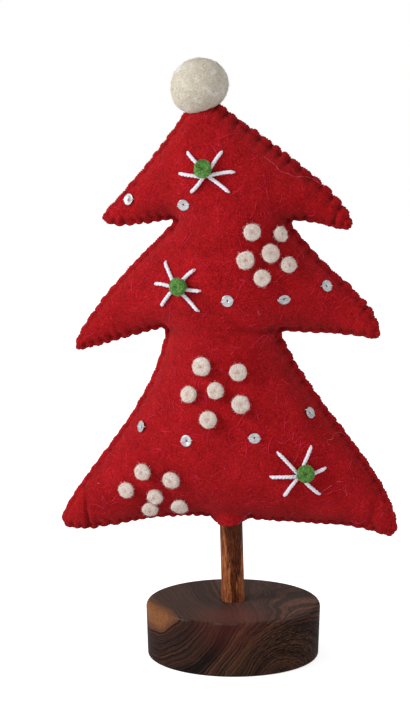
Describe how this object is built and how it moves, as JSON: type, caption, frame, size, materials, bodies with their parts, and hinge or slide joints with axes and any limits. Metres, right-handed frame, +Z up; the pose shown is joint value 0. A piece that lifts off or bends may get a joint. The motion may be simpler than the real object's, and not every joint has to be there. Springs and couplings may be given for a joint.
{
  "type": "felt christmas tree",
  "caption": "Stuffed red felt tree with overcast edges, sewn wool dots, yarn stars and sequins, a wool ball on top, and a wooden trunk in a round wooden foot.",
  "frame": {"origin": "middle of the foot's flat underside", "axes": "+Z up, -Y towards the decorated front, +X to the right as seen from the front"},
  "size_m": [0.1705, 0.088, 0.3005],
  "materials": {
    "red_felt": "wet-felted wool, matte, with loose fibres",
    "stuffing": "loose white fibre",
    "top_ball_wool": "undyed felted wool, matte, flecked",
    "cream_wool": "undyed felted wool, matte",
    "green_wool": "dyed felted wool, matte",
    "white_yarn": "white wool yarn, softly twisted",
    "sequin": "silvered film, mirror-like",
    "foot_wood": "dark figured hardwood, oiled, satin",
    "trunk_wood": "orange-brown hardwood, planed, satin"
  },
  "bodies": {
    "root": {"foot": "foot_wood", "trunk": "trunk_wood", "front_felt": "red_felt", "back_felt": "red_felt", "stuffing": "stuffing", "top_ball": "top_ball_wool", "upper_flower_dot_1": "cream_wool", "upper_flower_dot_2": "cream_wool", "upper_flower_dot_3": "cream_wool", "upper_flower_dot_4": "cream_wool", "upper_flower_dot_5": "cream_wool", "upper_flower_dot_6": "cream_wool", "middle_flower_dot_1": "cream_wool", "middle_flower_dot_2": "cream_wool", "middle_flower_dot_3": "cream_wool", "middle_flower_dot_4": "cream_wool", "middle_flower_dot_5": "cream_wool", "middle_flower_dot_6": "cream_wool", "lower_flower_dot_1": "cream_wool", "lower_flower_dot_2": "cream_wool", "lower_flower_dot_3": "cream_wool", "lower_flower_dot_4": "cream_wool", "lower_flower_dot_5": "cream_wool", "lower_flower_dot_6": "cream_wool", "top_star_yarn": "white_yarn", "middle_star_yarn": "white_yarn", "lower_star_yarn": "white_yarn", "top_star_ball": "green_wool", "middle_star_ball": "green_wool", "lower_star_ball": "green_wool", "sequin_1": "sequin", "sequin_2": "sequin", "sequin_3": "sequin", "sequin_4": "sequin", "sequin_5": "sequin", "sequin_6": "sequin", "sequin_7": "sequin", "sequin_8": "sequin", "sequin_9": "sequin"}
  },
  "joints": []
}
